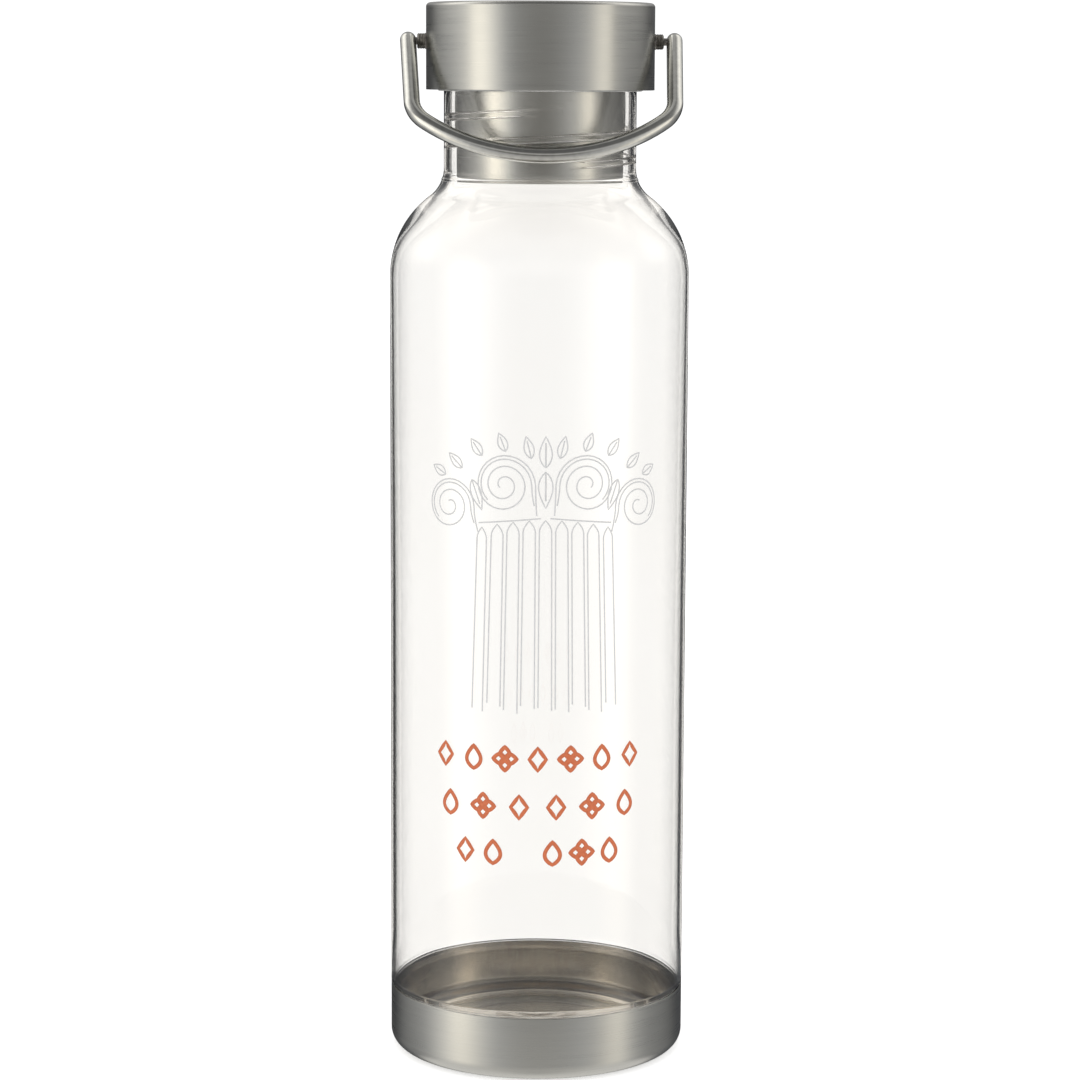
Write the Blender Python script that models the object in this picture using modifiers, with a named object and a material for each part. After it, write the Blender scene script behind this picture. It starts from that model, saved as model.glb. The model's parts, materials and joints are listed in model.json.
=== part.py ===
"""Clear water bottle with a pressed steel base cup and a screw lid that carries a wire bail.

Metres, +Z up. The origin is the centre of the base, on the surface that the bottle stands on.
The bail hangs forward, towards -Y, and its pivots lie along X.
"""

import math

import bmesh
import bpy
from mathutils import Matrix

# ---- driving dimensions -------------------------------------------------------------------

GAP = 0.0003                 # left between pieces that touch on the real bottle
RUN_GAP = 0.0001             # radial clearance of a turning pin
STEPS = 48                   # facets round a large turned piece
SMALL_STEPS = 24             # facets round a pin, bushing or nut

TOTAL_HEIGHT = 0.2582
BODY_R = 0.0365
BODY_WALL = 0.0011
SHOULDER_Z = 0.1925          # where the straight wall ends
SHOULDER_R = 0.0241          # radius of the shoulder's round
NECK_R = 0.02336
NECK_WALL = 0.00136
NECK_FOOT_Z = 0.2186         # where the neck becomes straight
NECK_RIM_Z = 0.2381
BODY_FLOOR_Z = 0.0018
BODY_FLOOR = 0.0022
SPIGOT_R = 0.0354            # the reduced foot that sits in the cup
SPIGOT_CORNER = 0.0042

CUP_R = 0.03645
CUP_WALL = 0.0006
CUP_RIM_Z = 0.0159
CUP_CORNER = 0.0040
CUP_DISH = 0.0004            # the middle of the cup's floor is pressed up by this much
STAND_RING_R = 0.0270        # inner radius of the ring that the bottle stands on
BOND_R = (0.0275, 0.0313)

LID_R = 0.02766
LID_WALL = 0.0007
LID_BOTTOM_Z = 0.2374
LID_TOP_EDGE = 0.0010
CORE_TOP = 0.0020
CORE_WALL = 0.0026
CORE_SHELF = 0.0030          # thickness of the core's shelf over the gasket
CORE_TUBE_R = 0.0191
CORE_TUBE_WALL = 0.0018

PLUG_R = 0.0207
PLUG_TIP_R = 0.02025
PLUG_TIP_Z = 0.2245
PLUG_WALL = 0.0008
PLUG_BOTTOM_Z = 0.2151
PLUG_EDGE = 0.0012

GASKET_R = 0.0248
GASKET_BOTTOM_Z = 0.2371
GASKET_TOP_Z = 0.2401

THREAD_PITCH = 0.00635
THREAD_Z = 0.22105           # height of the neck's ridge where it crosses +X
THREAD_FROM = math.radians(-80)
THREAD_TO = math.radians(632)
THREAD_RUN_OUT = math.radians(35)
NECK_RIDGE = 0.00095         # radius of the round ridge
PLUG_RIDGE = 0.00085
RIDGE_DROP = 0.0017          # the plug's ridge runs this far below the neck's

PIVOT_Z = 0.2490
WIRE_R = 0.00195
ARM_X = 0.03222              # centre of the wire at the pivot
ARM_LEAN = math.radians(2.4)
ARM_ABOVE = 0.00035          # the wire's round end is centred this far above the pivot
BEND_R = 0.0088              # lower bends, on the wire's centre line
BAR_R = 0.04275              # shallow arc of the bar, on the wire's centre line
BAR_REACH = 0.03695          # pivot axis to the middle of the bar
HANG_ANGLE = math.radians(43.7)

PIN_R = 0.0009
PIN_IN_ARM = 0.0006          # the pin ends this far past the wire's centre line
PIN_INNER_X = 0.0224
BUSHING_R = 0.0019
BUSHING_X = (0.0216, 0.0298)
BAIL_PLAY = 0.00025          # the bail rests this far to +X, inside its side play
NUT_ACROSS = 0.0060
NUT_THICKNESS = 0.0016

GLASS_COLOUR = (0.93, 0.95, 0.94)
CUP_COLOUR = (0.60, 0.58, 0.54)
LID_COLOUR = (0.62, 0.60, 0.56)
PLUG_COLOUR = (0.64, 0.63, 0.60)
WIRE_COLOUR = (0.66, 0.65, 0.61)
PIVOT_COLOUR = (0.30, 0.29, 0.27)
CORE_COLOUR = (0.80, 0.80, 0.78)
SEAL_COLOUR = (0.76, 0.76, 0.74)


# ---- scene, collections and materials -----------------------------------------------------

def clear_scene():
    for obj in list(bpy.data.objects):
        bpy.data.objects.remove(obj, do_unlink=True)


def new_collection(name):
    collection = bpy.data.collections.new(name)
    bpy.context.scene.collection.children.link(collection)
    return collection


def material(name, colour, roughness, metallic=0.0, transmission=0.0):
    made = bpy.data.materials.new(name)
    made.use_nodes = True
    shader = made.node_tree.nodes["Principled BSDF"]
    shader.inputs["Base Color"].default_value = (*colour, 1.0)
    shader.inputs["Roughness"].default_value = roughness
    shader.inputs["Metallic"].default_value = metallic
    shader.inputs["Transmission Weight"].default_value = transmission
    return made


# ---- shapes -------------------------------------------------------------------------------

def arc(centre_r, centre_z, radius, start, end, pieces):
    """Points (r, z) of an arc, from one angle to another in degrees, both ends included."""
    angles = [math.radians(start + (end - start) * i / pieces) for i in range(pieces + 1)]
    return [(centre_r + radius * math.cos(a), centre_z + radius * math.sin(a)) for a in angles]


def turned(name, profile, finish, collection, steps=STEPS, close=False):
    """A solid turned round Z. The profile runs down its outer side, top to bottom."""
    mesh = bpy.data.meshes.new(name)
    shape = bmesh.new()
    points = [shape.verts.new((r, 0.0, z)) for r, z in profile]
    for first, second in zip(points, points[1:]):
        shape.edges.new((first, second))
    if close:
        shape.edges.new((points[-1], points[0]))
    shape.to_mesh(mesh)
    shape.free()
    obj = bpy.data.objects.new(name, mesh)
    collection.objects.link(obj)
    screw = obj.modifiers.new("turn", "SCREW")
    screw.axis = "Z"
    screw.steps = steps
    screw.render_steps = steps
    screw.use_merge_vertices = True
    screw.merge_threshold = 0.000001
    screw.use_smooth_shade = True
    mesh.materials.append(finish)
    return obj


def cylinder(name, radius, x_from, x_to, z, finish, collection, steps=SMALL_STEPS):
    """A solid cylinder along X."""
    mesh = bpy.data.meshes.new(name)
    shape = bmesh.new()
    bmesh.ops.create_cone(
        shape, cap_ends=True, cap_tris=False, segments=steps,
        radius1=radius, radius2=radius, depth=abs(x_to - x_from),
    )
    bmesh.ops.rotate(shape, verts=shape.verts, matrix=Matrix.Rotation(math.pi / 2, 3, "Y"))
    shape.to_mesh(mesh)
    shape.free()
    obj = bpy.data.objects.new(name, mesh)
    obj.location = ((x_from + x_to) / 2, 0.0, z)
    collection.objects.link(obj)
    if finish:
        mesh.materials.append(finish)
    return obj


def boolean(obj, other, operation):
    cut = obj.modifiers.new(other.name, "BOOLEAN")
    cut.operation = operation
    cut.object = other
    cut.solver = "EXACT"


def as_helper(obj):
    """A cutter or a shape to be joined: the build and a render leave it out."""
    obj.hide_render = True
    obj.display_type = "WIRE"
    return obj


def solid_from_curve(name, points, radii, bevel, sides, collection):
    """A closed tube mesh along the points, with its own radius factor at each."""
    curve = bpy.data.curves.new(name, "CURVE")
    curve.dimensions = "3D"
    curve.bevel_depth = bevel
    curve.bevel_resolution = sides
    curve.use_fill_caps = True
    spline = curve.splines.new("POLY")
    spline.points.add(len(points) - 1)
    for point, place, factor in zip(spline.points, points, radii):
        point.co = (*place, 1.0)
        point.radius = factor
    guide = bpy.data.objects.new(name + "_guide", curve)
    bpy.context.scene.collection.objects.link(guide)
    graph = bpy.context.evaluated_depsgraph_get()
    mesh = bpy.data.meshes.new_from_object(guide.evaluated_get(graph))
    mesh.name = name
    shape = bmesh.new()
    shape.from_mesh(mesh)
    bmesh.ops.remove_doubles(shape, verts=shape.verts, dist=0.000001)
    bmesh.ops.recalc_face_normals(shape, faces=shape.faces)
    shape.to_mesh(mesh)
    shape.free()
    obj = bpy.data.objects.new(name, mesh)
    collection.objects.link(obj)
    bpy.data.objects.remove(guide)
    bpy.data.curves.remove(curve)
    return obj


def thread_ridge(name, radius, ridge, drop, sink, collection):
    """The helical ridge, thinning out and sinking into its wall at both ends."""
    segments = round((THREAD_TO - THREAD_FROM) / (2 * math.pi / STEPS))
    points = []
    factors = []
    for i in range(segments + 1):
        angle = THREAD_FROM + (THREAD_TO - THREAD_FROM) * i / segments
        from_end = min(angle - THREAD_FROM, THREAD_TO - angle)
        full = min(1.0, from_end / THREAD_RUN_OUT)
        centre = radius + sink * (1.0 - full)
        z = THREAD_Z + THREAD_PITCH * angle / (2 * math.pi) - drop
        points.append((centre * math.cos(angle), centre * math.sin(angle), z))
        factors.append(0.35 + 0.65 * full)
    return as_helper(solid_from_curve(name, points, factors, ridge, 2, collection))


def hex_nut(name, middle_x, finish, collection, helpers):
    half = NUT_THICKNESS / 2
    corner_r = NUT_ACROSS / math.sqrt(3)
    nut = cylinder(
        name, corner_r, middle_x - half, middle_x + half, PIVOT_Z, finish, collection, steps=6
    )
    hole = cylinder(
        name + "_hole", BUSHING_R + GAP, middle_x - 2 * half, middle_x + 2 * half,
        PIVOT_Z, None, helpers,
    )
    boolean(nut, as_helper(hole), "DIFFERENCE")
    return nut


# ---- the bottle ---------------------------------------------------------------------------

def shoulder(offset, pieces):
    """The neck's foot and the shoulder, from the straight neck down to the straight wall.

    The two rounds are tangent to each other. An offset moves the outline inwards.
    """
    big_r = BODY_R - SHOULDER_R
    across = NECK_R - big_r
    rise = NECK_FOOT_Z - SHOULDER_Z
    foot = (across ** 2 + rise ** 2 - SHOULDER_R ** 2) / (2 * (SHOULDER_R - across))
    meet = math.degrees(math.atan2(rise, across + foot))
    upper = arc(NECK_R + foot, NECK_FOOT_Z, foot + offset, 180.0, 180.0 + meet, pieces)
    lower = arc(big_r, SHOULDER_Z, SHOULDER_R - offset, meet, 0.0, 2 * pieces)
    return upper + lower[1:]


def make_bottle_body(finish, collection, helpers):
    spigot_z = CUP_RIM_Z + GAP
    corner_z = BODY_FLOOR_Z + SPIGOT_CORNER
    rim = 0.0004
    inner_corner = SPIGOT_CORNER - BODY_WALL
    inner_z = BODY_FLOOR_Z + BODY_FLOOR
    outer = [(NECK_R - rim, NECK_RIM_Z), (NECK_R, NECK_RIM_Z - rim)]
    outer += shoulder(0.0, 4)
    outer += [(BODY_R, spigot_z), (SPIGOT_R, spigot_z)]
    outer += arc(SPIGOT_R - SPIGOT_CORNER, corner_z, SPIGOT_CORNER, 0, -90, 4)
    outer += [(0.0, BODY_FLOOR_Z)]
    inner_r = SPIGOT_R - BODY_WALL
    inner = [(0.0, inner_z)]
    inner += arc(inner_r - inner_corner, inner_z + inner_corner, inner_corner, -90, 0, 3)
    inner += [(inner_r, spigot_z - BODY_WALL), (BODY_R - BODY_WALL, spigot_z + BODY_WALL)]
    inner += reversed(shoulder(BODY_WALL, 4)[1:])
    inner += [(NECK_R - NECK_WALL, NECK_FOOT_Z + 0.001)]
    inner += [(NECK_R - NECK_WALL, NECK_RIM_Z - rim), (NECK_R - NECK_WALL + rim, NECK_RIM_Z)]
    body = turned("bottle_body", outer + inner, finish, collection, close=True)
    ridge = thread_ridge(
        "neck_ridge", NECK_R - NECK_WALL, NECK_RIDGE, 0.0, NECK_RIDGE / 2, helpers
    )
    boolean(body, ridge, "UNION")
    return body


def make_base_cup(finish, collection):
    inner_r = CUP_R - CUP_WALL
    inner_corner = CUP_CORNER - CUP_WALL
    dish_r = STAND_RING_R - 0.001
    floor_z = CUP_WALL + CUP_DISH
    profile = [(CUP_R, CUP_RIM_Z)]
    profile += arc(CUP_R - CUP_CORNER, CUP_CORNER, CUP_CORNER, 0, -90, 5)
    profile += [(STAND_RING_R, 0.0), (dish_r, CUP_DISH), (0.0, CUP_DISH), (0.0, floor_z)]
    profile += [(dish_r, floor_z), (STAND_RING_R, CUP_WALL)]
    profile += arc(inner_r - inner_corner, CUP_CORNER, inner_corner, -90, 0, 4)
    profile += [(inner_r, CUP_RIM_Z)]
    return turned("base_cup", profile, finish, collection, close=True)


def make_base_bond(finish, collection):
    low = CUP_WALL + GAP
    high = BODY_FLOOR_Z - GAP
    profile = [(BOND_R[1], high), (BOND_R[1], low), (BOND_R[0], low), (BOND_R[0], high)]
    return turned("base_bond", profile, finish, collection, close=True)


# ---- the lid ------------------------------------------------------------------------------

def make_lid_shell(finish, collection, helpers):
    under = TOTAL_HEIGHT - LID_WALL
    inner_r = LID_R - LID_WALL
    edge = LID_TOP_EDGE
    profile = [(0.0, TOTAL_HEIGHT)]
    profile += arc(LID_R - edge, TOTAL_HEIGHT - edge, edge, 90, 0, 3)
    profile += [(LID_R, LID_BOTTOM_Z), (inner_r, LID_BOTTOM_Z), (inner_r, under), (0.0, under)]
    shell = turned("lid_shell", profile, finish, collection)
    for side in (-1, 1):
        hole = cylinder(
            f"shell_hole_{side}", BUSHING_R + GAP, side * 0.024, side * 0.030,
            PIVOT_Z, None, helpers,
        )
        boolean(shell, as_helper(hole), "DIFFERENCE")
    return shell


def make_lid_core(finish, collection, helpers):
    outer_r = LID_R - LID_WALL - GAP
    top = TOTAL_HEIGHT - LID_WALL - GAP
    shelf = GASKET_TOP_Z + GAP
    tube_end = PLUG_BOTTOM_Z + PLUG_WALL + GAP
    room_r = outer_r - CORE_WALL
    bore_r = CORE_TUBE_R - CORE_TUBE_WALL
    profile = [(0.0, top), (outer_r, top), (outer_r, LID_BOTTOM_Z + GAP)]
    profile += [(GASKET_R + GAP, LID_BOTTOM_Z + GAP), (GASKET_R + GAP, shelf)]
    profile += [(CORE_TUBE_R, shelf), (CORE_TUBE_R, tube_end), (bore_r, tube_end)]
    profile += [(bore_r, shelf + CORE_SHELF), (room_r, shelf + CORE_SHELF)]
    profile += [(room_r, top - CORE_TOP), (0.0, top - CORE_TOP)]
    core = turned("lid_core", profile, finish, collection)
    for side in (-1, 1):
        hole = cylinder(
            f"core_hole_{side}", BUSHING_R + GAP, side * 0.021, side * 0.028,
            PIVOT_Z, None, helpers,
        )
        boolean(core, as_helper(hole), "DIFFERENCE")
    return core


def make_plug_sleeve(finish, collection, helpers):
    top = GASKET_TOP_Z
    step = 0.0008
    inner_edge = PLUG_EDGE - PLUG_WALL
    floor = PLUG_BOTTOM_Z + PLUG_WALL
    inner_tip_r = PLUG_TIP_R - PLUG_WALL
    profile = [(PLUG_R, top), (PLUG_R, PLUG_TIP_Z + step), (PLUG_TIP_R, PLUG_TIP_Z)]
    profile += arc(PLUG_TIP_R - PLUG_EDGE, PLUG_BOTTOM_Z + PLUG_EDGE, PLUG_EDGE, 0, -90, 3)
    profile += [(0.0, PLUG_BOTTOM_Z), (0.0, floor)]
    profile += [(inner_tip_r - inner_edge, floor), (inner_tip_r, floor + inner_edge)]
    profile += [(inner_tip_r, PLUG_TIP_Z), (PLUG_R - PLUG_WALL, PLUG_TIP_Z + step)]
    profile += [(PLUG_R - PLUG_WALL, top)]
    sleeve = turned("plug_sleeve", profile, finish, collection, close=True)
    ridge_r = PLUG_R + 0.0001
    ridge = thread_ridge("plug_ridge", ridge_r, PLUG_RIDGE, RIDGE_DROP, -PLUG_RIDGE / 2, helpers)
    boolean(sleeve, ridge, "UNION")
    return sleeve


def make_neck_gasket(finish, collection):
    bore_r = PLUG_R + GAP
    groove_r = NECK_R + GAP
    groove_z = NECK_RIM_Z + GAP
    profile = [(GASKET_R, GASKET_TOP_Z), (GASKET_R, GASKET_BOTTOM_Z)]
    profile += [(groove_r, GASKET_BOTTOM_Z), (groove_r, groove_z)]
    profile += [(bore_r, groove_z), (bore_r, GASKET_TOP_Z)]
    return turned("neck_gasket", profile, finish, collection, close=True)


# ---- the bail and its pivots --------------------------------------------------------------

def bail_side():
    """Centre line of one half of the bail as (x, reach), from the bar's middle to the arm's end.

    The arm is straight and leans inwards. A bend tangent to it and to the bar's arc joins them.
    """
    bar_centre = BAR_REACH - BAR_R
    along = (-math.sin(ARM_LEAN), math.cos(ARM_LEAN))
    inward = (-math.cos(ARM_LEAN), -math.sin(ARM_LEAN))
    start = (ARM_X + BEND_R * inward[0], BEND_R * inward[1] - bar_centre)
    half_b = start[0] * along[0] + start[1] * along[1]
    c = start[0] ** 2 + start[1] ** 2 - (BAR_R - BEND_R) ** 2
    run = -half_b + math.sqrt(half_b ** 2 - c)
    centre = (start[0] + run * along[0], start[1] + run * along[1] + bar_centre)
    meet = math.atan2(centre[1] - bar_centre, centre[0])
    points = []
    for i in range(10):
        angle = math.pi / 2 + (meet - math.pi / 2) * i / 10
        points.append((BAR_R * math.cos(angle), bar_centre + BAR_R * math.sin(angle)))
    for i in range(7):
        angle = meet + (ARM_LEAN - meet) * i / 6
        points.append((centre[0] + BEND_R * math.cos(angle), centre[1] + BEND_R * math.sin(angle)))
    for reach in (run * 0.5, 0.0):
        points.append((ARM_X + along[0] * reach, along[1] * reach))
    return points


def make_handle(finish, collection, helpers, pivot):
    half = [(x, reach, 1.0) for x, reach in bail_side()]
    for i in range(6):
        angle = math.radians(16 * i)
        out = ARM_ABOVE + WIRE_R * math.sin(angle)
        half.append((ARM_X + out * math.sin(ARM_LEAN), -out, math.cos(angle)))
    whole = [(-x, reach, factor) for x, reach, factor in reversed(half[1:])] + half
    hang = (-math.sin(HANG_ANGLE), -math.cos(HANG_ANGLE))
    points = [(x + BAIL_PLAY, hang[0] * reach, hang[1] * reach) for x, reach, factor in whole]
    factors = [factor for x, reach, factor in whole]
    handle = solid_from_curve("handle", points, factors, WIRE_R, 3, collection)
    handle.parent = pivot
    handle.data.materials.append(finish)
    for side in (-1, 1):
        end_x = side * (ARM_X + PIN_IN_ARM + GAP) + BAIL_PLAY
        hole = cylinder(
            f"arm_hole_{side}", PIN_R + GAP, side * 0.029, end_x, PIVOT_Z, None, helpers
        )
        boolean(handle, as_helper(hole), "DIFFERENCE")
    return handle


def make_pivot(side, label, finish, collection, helpers, pivot):
    pin = cylinder(
        f"pivot_pin_{label}", PIN_R, side * PIN_INNER_X + BAIL_PLAY,
        side * (ARM_X + PIN_IN_ARM) + BAIL_PLAY, 0.0, finish, collection,
    )
    pin.parent = pivot
    bushing = cylinder(
        f"pivot_bushing_{label}", BUSHING_R, side * BUSHING_X[0], side * BUSHING_X[1],
        PIVOT_Z, finish, collection,
    )
    bore = cylinder(
        f"bushing_bore_{label}", PIN_R + RUN_GAP, side * 0.020, side * 0.032,
        PIVOT_Z, None, helpers,
    )
    boolean(bushing, as_helper(bore), "DIFFERENCE")
    nut_x = LID_R - LID_WALL - GAP - CORE_WALL - GAP - NUT_THICKNESS / 2
    hex_nut(f"pivot_nut_{label}", side * nut_x, finish, collection, helpers)


# ---- build --------------------------------------------------------------------------------

def main():
    clear_scene()
    parts = new_collection("water_bottle")
    helpers = new_collection("cutters")

    glass = material("clear_glass", GLASS_COLOUR, 0.03, transmission=1.0)
    cup_steel = material("cup_steel", CUP_COLOUR, 0.32, metallic=1.0)
    lid_steel = material("lid_steel", LID_COLOUR, 0.30, metallic=1.0)
    plug_steel = material("plug_steel", PLUG_COLOUR, 0.22, metallic=1.0)
    wire_steel = material("wire_steel", WIRE_COLOUR, 0.18, metallic=1.0)
    pivot_steel = material("pivot_steel", PIVOT_COLOUR, 0.40, metallic=1.0)
    core_plastic = material("core_plastic", CORE_COLOUR, 0.45)
    seal_silicone = material("seal_silicone", SEAL_COLOUR, 0.50)

    pivot = bpy.data.objects.new("handle_pivot", None)
    pivot.location = (0.0, 0.0, PIVOT_Z)
    parts.objects.link(pivot)

    make_bottle_body(glass, parts, helpers)
    make_base_cup(cup_steel, parts)
    make_base_bond(seal_silicone, parts)
    make_lid_shell(lid_steel, parts, helpers)
    make_lid_core(core_plastic, parts, helpers)
    make_plug_sleeve(plug_steel, parts, helpers)
    make_neck_gasket(seal_silicone, parts)
    make_handle(wire_steel, parts, helpers, pivot)
    for side, label in ((-1, "left"), (1, "right")):
        make_pivot(side, label, pivot_steel, parts, helpers, pivot)


main()
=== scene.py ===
import json
import math

import bmesh
import bpy
from mathutils import Matrix, Vector


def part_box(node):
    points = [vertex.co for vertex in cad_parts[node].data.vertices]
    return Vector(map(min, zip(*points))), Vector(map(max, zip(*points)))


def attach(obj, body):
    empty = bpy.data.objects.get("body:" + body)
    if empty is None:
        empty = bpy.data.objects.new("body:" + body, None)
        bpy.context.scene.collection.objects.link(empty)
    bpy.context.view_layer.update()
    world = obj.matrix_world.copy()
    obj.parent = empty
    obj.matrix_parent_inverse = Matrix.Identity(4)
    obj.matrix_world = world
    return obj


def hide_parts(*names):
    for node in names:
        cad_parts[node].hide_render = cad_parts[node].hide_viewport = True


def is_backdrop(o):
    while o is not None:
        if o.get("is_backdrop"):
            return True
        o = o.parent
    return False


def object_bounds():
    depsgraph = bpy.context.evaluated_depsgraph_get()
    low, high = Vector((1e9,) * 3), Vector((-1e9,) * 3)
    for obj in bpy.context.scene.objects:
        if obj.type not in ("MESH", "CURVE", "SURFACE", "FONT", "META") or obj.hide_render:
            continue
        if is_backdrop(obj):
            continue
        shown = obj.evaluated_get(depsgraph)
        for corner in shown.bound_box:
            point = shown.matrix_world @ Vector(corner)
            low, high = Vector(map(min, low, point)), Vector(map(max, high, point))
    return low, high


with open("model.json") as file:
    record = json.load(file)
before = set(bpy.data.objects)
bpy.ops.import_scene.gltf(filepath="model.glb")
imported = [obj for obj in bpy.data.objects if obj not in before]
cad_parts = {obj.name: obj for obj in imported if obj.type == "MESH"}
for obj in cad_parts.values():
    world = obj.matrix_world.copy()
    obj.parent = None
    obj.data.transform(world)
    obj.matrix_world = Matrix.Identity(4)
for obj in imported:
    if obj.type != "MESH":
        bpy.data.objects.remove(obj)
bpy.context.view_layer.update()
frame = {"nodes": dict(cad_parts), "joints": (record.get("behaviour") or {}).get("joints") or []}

# ---- Bottle body --------------------------------------------------------------------------
# The body is one clear blow-moulded piece, with a wall about 1.1 mm thick low down and thinner
# under the shoulder. Its neck has a right-hand ridge inside for the plug, and its foot is
# stepped in by 1 mm to sit in the steel cup.

MM = 0.001
ROUND = 240                       # facets round a large turned piece

BODY_R = 36.46 * MM
BODY_WALL = 1.1 * MM
THIN_WALL = 0.75 * MM             # where the wall meets the shoulder
WALL_BY_HEIGHT = ((1.1, 60), (1.1, 90), (1.05, 115), (0.95, 140), (0.82, 165), (0.76, 180))
SHOULDER_SWELL = 0.6 * MM         # the shoulder's wall is thicker by this much at most
SHOULDER_Z = 192.5 * MM
SHOULDER_R = 24.1 * MM
NECK_R = 23.36 * MM
NECK_BORE = 22.0 * MM
NECK_FOOT_Z = 218.6 * MM
NECK_RIM_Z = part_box("bottle_body")[1].z
FOOT_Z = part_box("bottle_body")[0].z
SPIGOT_R = 35.4 * MM
SPIGOT_CORNER = 4.2 * MM
CUP_RIM_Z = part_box("base_cup")[1].z

THREAD_PITCH = 6.35 * MM
THREAD_Z = 221.05 * MM
THREAD_FROM = math.radians(-80)
THREAD_TO = math.radians(632)
THREAD_RUN_OUT = math.radians(30)
RIDGE = 0.6 * MM                  # the thread's ridge stands in from the bore by this much
RIDGE_HALF = 0.85 * MM
THREAD_ROWS = 132


def arc(centre_r, centre_z, radius, start, end, pieces):
    """Points (r, z) along an arc between two angles in degrees."""
    angles = [math.radians(start + (end - start) * i / pieces) for i in range(pieces + 1)]
    return [(centre_r + radius * math.cos(a), centre_z + radius * math.sin(a)) for a in angles]


def rounded(outline, pieces=5):
    """An open outline of (r, z, corner radius) with each corner turned into an arc."""
    points = []
    for i, (r, z, radius) in enumerate(outline):
        if radius == 0 or i in (0, len(outline) - 1):
            points.append((r, z))
            continue
        corner = Vector((r, z))
        back = (Vector(outline[i - 1][:2]) - corner).normalized()
        ahead = (Vector(outline[i + 1][:2]) - corner).normalized()
        half = back.angle(ahead) / 2
        middle = corner + (back + ahead).normalized() * radius / math.sin(half)
        first = corner + back * radius / math.tan(half) - middle
        last = corner + ahead * radius / math.tan(half) - middle
        turn = first.angle_signed(last)
        for k in range(pieces + 1):
            spoke = first.copy()
            spoke.rotate(Matrix.Rotation(-turn * k / pieces, 2))
            points.append(tuple(middle + spoke))
    return points


def finished(name, shape, sharp=40.0):
    """The bmesh as an object: doubles merged, faces out, smooth but for its sharp edges."""
    bmesh.ops.remove_doubles(shape, verts=shape.verts, dist=0.000002)
    bmesh.ops.recalc_face_normals(shape, faces=shape.faces)
    mesh = bpy.data.meshes.new(name)
    shape.to_mesh(mesh)
    shape.free()
    mesh.shade_smooth()
    mesh.set_sharp_from_angle(angle=math.radians(sharp))
    obj = bpy.data.objects.new(name, mesh)
    bpy.context.scene.collection.objects.link(obj)
    return obj


def turned(profile, closed=True, steps=ROUND):
    """A bmesh of the profile of (r, z) points spun once round Z."""
    shape = bmesh.new()
    points = [shape.verts.new((r, 0.0, z)) for r, z in profile]
    edges = [shape.edges.new(pair) for pair in zip(points, points[1:])]
    if closed:
        edges.append(shape.edges.new((points[-1], points[0])))
    bmesh.ops.spin(
        shape, geom=points + edges, cent=(0, 0, 0), axis=(0, 0, 1), dvec=(0, 0, 0),
        angle=2 * math.pi, steps=steps, use_merge=True, use_duplicate=False,
    )
    return shape


def thread_height(angle, z):
    """How far, from 0 to 1, the helical ridge stands up at this angle and height."""
    most = 0.0
    for turn in range(-1, 3):
        along = angle + 2 * math.pi * turn
        if not THREAD_FROM <= along <= THREAD_TO:
            continue
        middle = THREAD_Z + THREAD_PITCH * along / (2 * math.pi)
        ends = min(1.0, (along - THREAD_FROM) / THREAD_RUN_OUT, (THREAD_TO - along) / THREAD_RUN_OUT)
        across = max(0.0, 1.0 - abs(z - middle) / RIDGE_HALF)
        flank = min(1.0, 2.2 * across)
        rise = flank * flank * (3 - 2 * flank)
        most = max(most, rise * ends * ends * (3 - 2 * ends))
    return most


def shoulder(inset, pieces):
    """From the straight neck down to the straight wall: two rounds, tangent to each other."""
    big_r = BODY_R - SHOULDER_R
    across = NECK_R - big_r
    rise = NECK_FOOT_Z - SHOULDER_Z
    foot = (across ** 2 + rise ** 2 - SHOULDER_R ** 2) / (2 * (SHOULDER_R - across))
    meet = math.degrees(math.atan2(rise, across + foot))
    upper = arc(NECK_R + foot, NECK_FOOT_Z, foot + inset, 180, 180 + meet, pieces)
    lower = arc(big_r, SHOULDER_Z, SHOULDER_R - inset, meet, 0, 2 * pieces)
    return upper + lower[1:]


LAND = 0.16 * MM                  # a fine ring where the two halves of the mould met
LAND_Z = 216.0 * MM
SEAM_ANGLE = math.radians(81)     # the faint upright line of the mould inside the foot
foot_top = CUP_RIM_Z + 0.3 * MM
floor_z = FOOT_Z + 2.2 * MM
thread_low = 217.6 * MM
thread_high = 234.8 * MM

outer = rounded([(NECK_R - 0.7 * MM, NECK_RIM_Z, 0), (NECK_R, NECK_RIM_Z, 0.5 * MM),
                 (NECK_R, NECK_FOOT_Z + 2 * MM, 0)])
outer += [(r + LAND * math.exp(-((z - LAND_Z) / (0.25 * MM)) ** 2), z) for r, z in shoulder(0.0, 36)]
outer += [(BODY_R, 120 * MM), (BODY_R, 60 * MM)]
outer += rounded([(BODY_R, 30 * MM, 0), (BODY_R, foot_top, 0.35 * MM),
                  (SPIGOT_R, foot_top, 0.3 * MM), (SPIGOT_R, FOOT_Z, SPIGOT_CORNER),
                  (14 * MM, FOOT_Z, 0)], 8)
outer += [(0.0, FOOT_Z + 0.5 * MM)]

inner_spigot = SPIGOT_R - BODY_WALL
gate = [(0.0, floor_z + 0.9 * MM), (2.0 * MM, floor_z + 0.9 * MM), (2.5 * MM, floor_z + 0.75 * MM),
        (4.6 * MM, floor_z + 0.75 * MM), (5.2 * MM, floor_z + 0.5 * MM),
        (9.6 * MM, floor_z + 0.45 * MM), (10.2 * MM, floor_z + 0.25 * MM)]
inner = gate + rounded([(16 * MM, floor_z + 0.1 * MM, 0), (inner_spigot, floor_z, 3.4 * MM),
                        (inner_spigot, foot_top - 2.0 * MM, 1.2 * MM),
                        (BODY_R - BODY_WALL, foot_top + 1.2 * MM, 1.6 * MM),
                        (BODY_R - BODY_WALL, 30 * MM, 0)], 8)
inner += [(BODY_R - wall * MM, z * MM) for wall, z in WALL_BY_HEIGHT]
under = list(reversed(shoulder(0.0, 16)))
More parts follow.
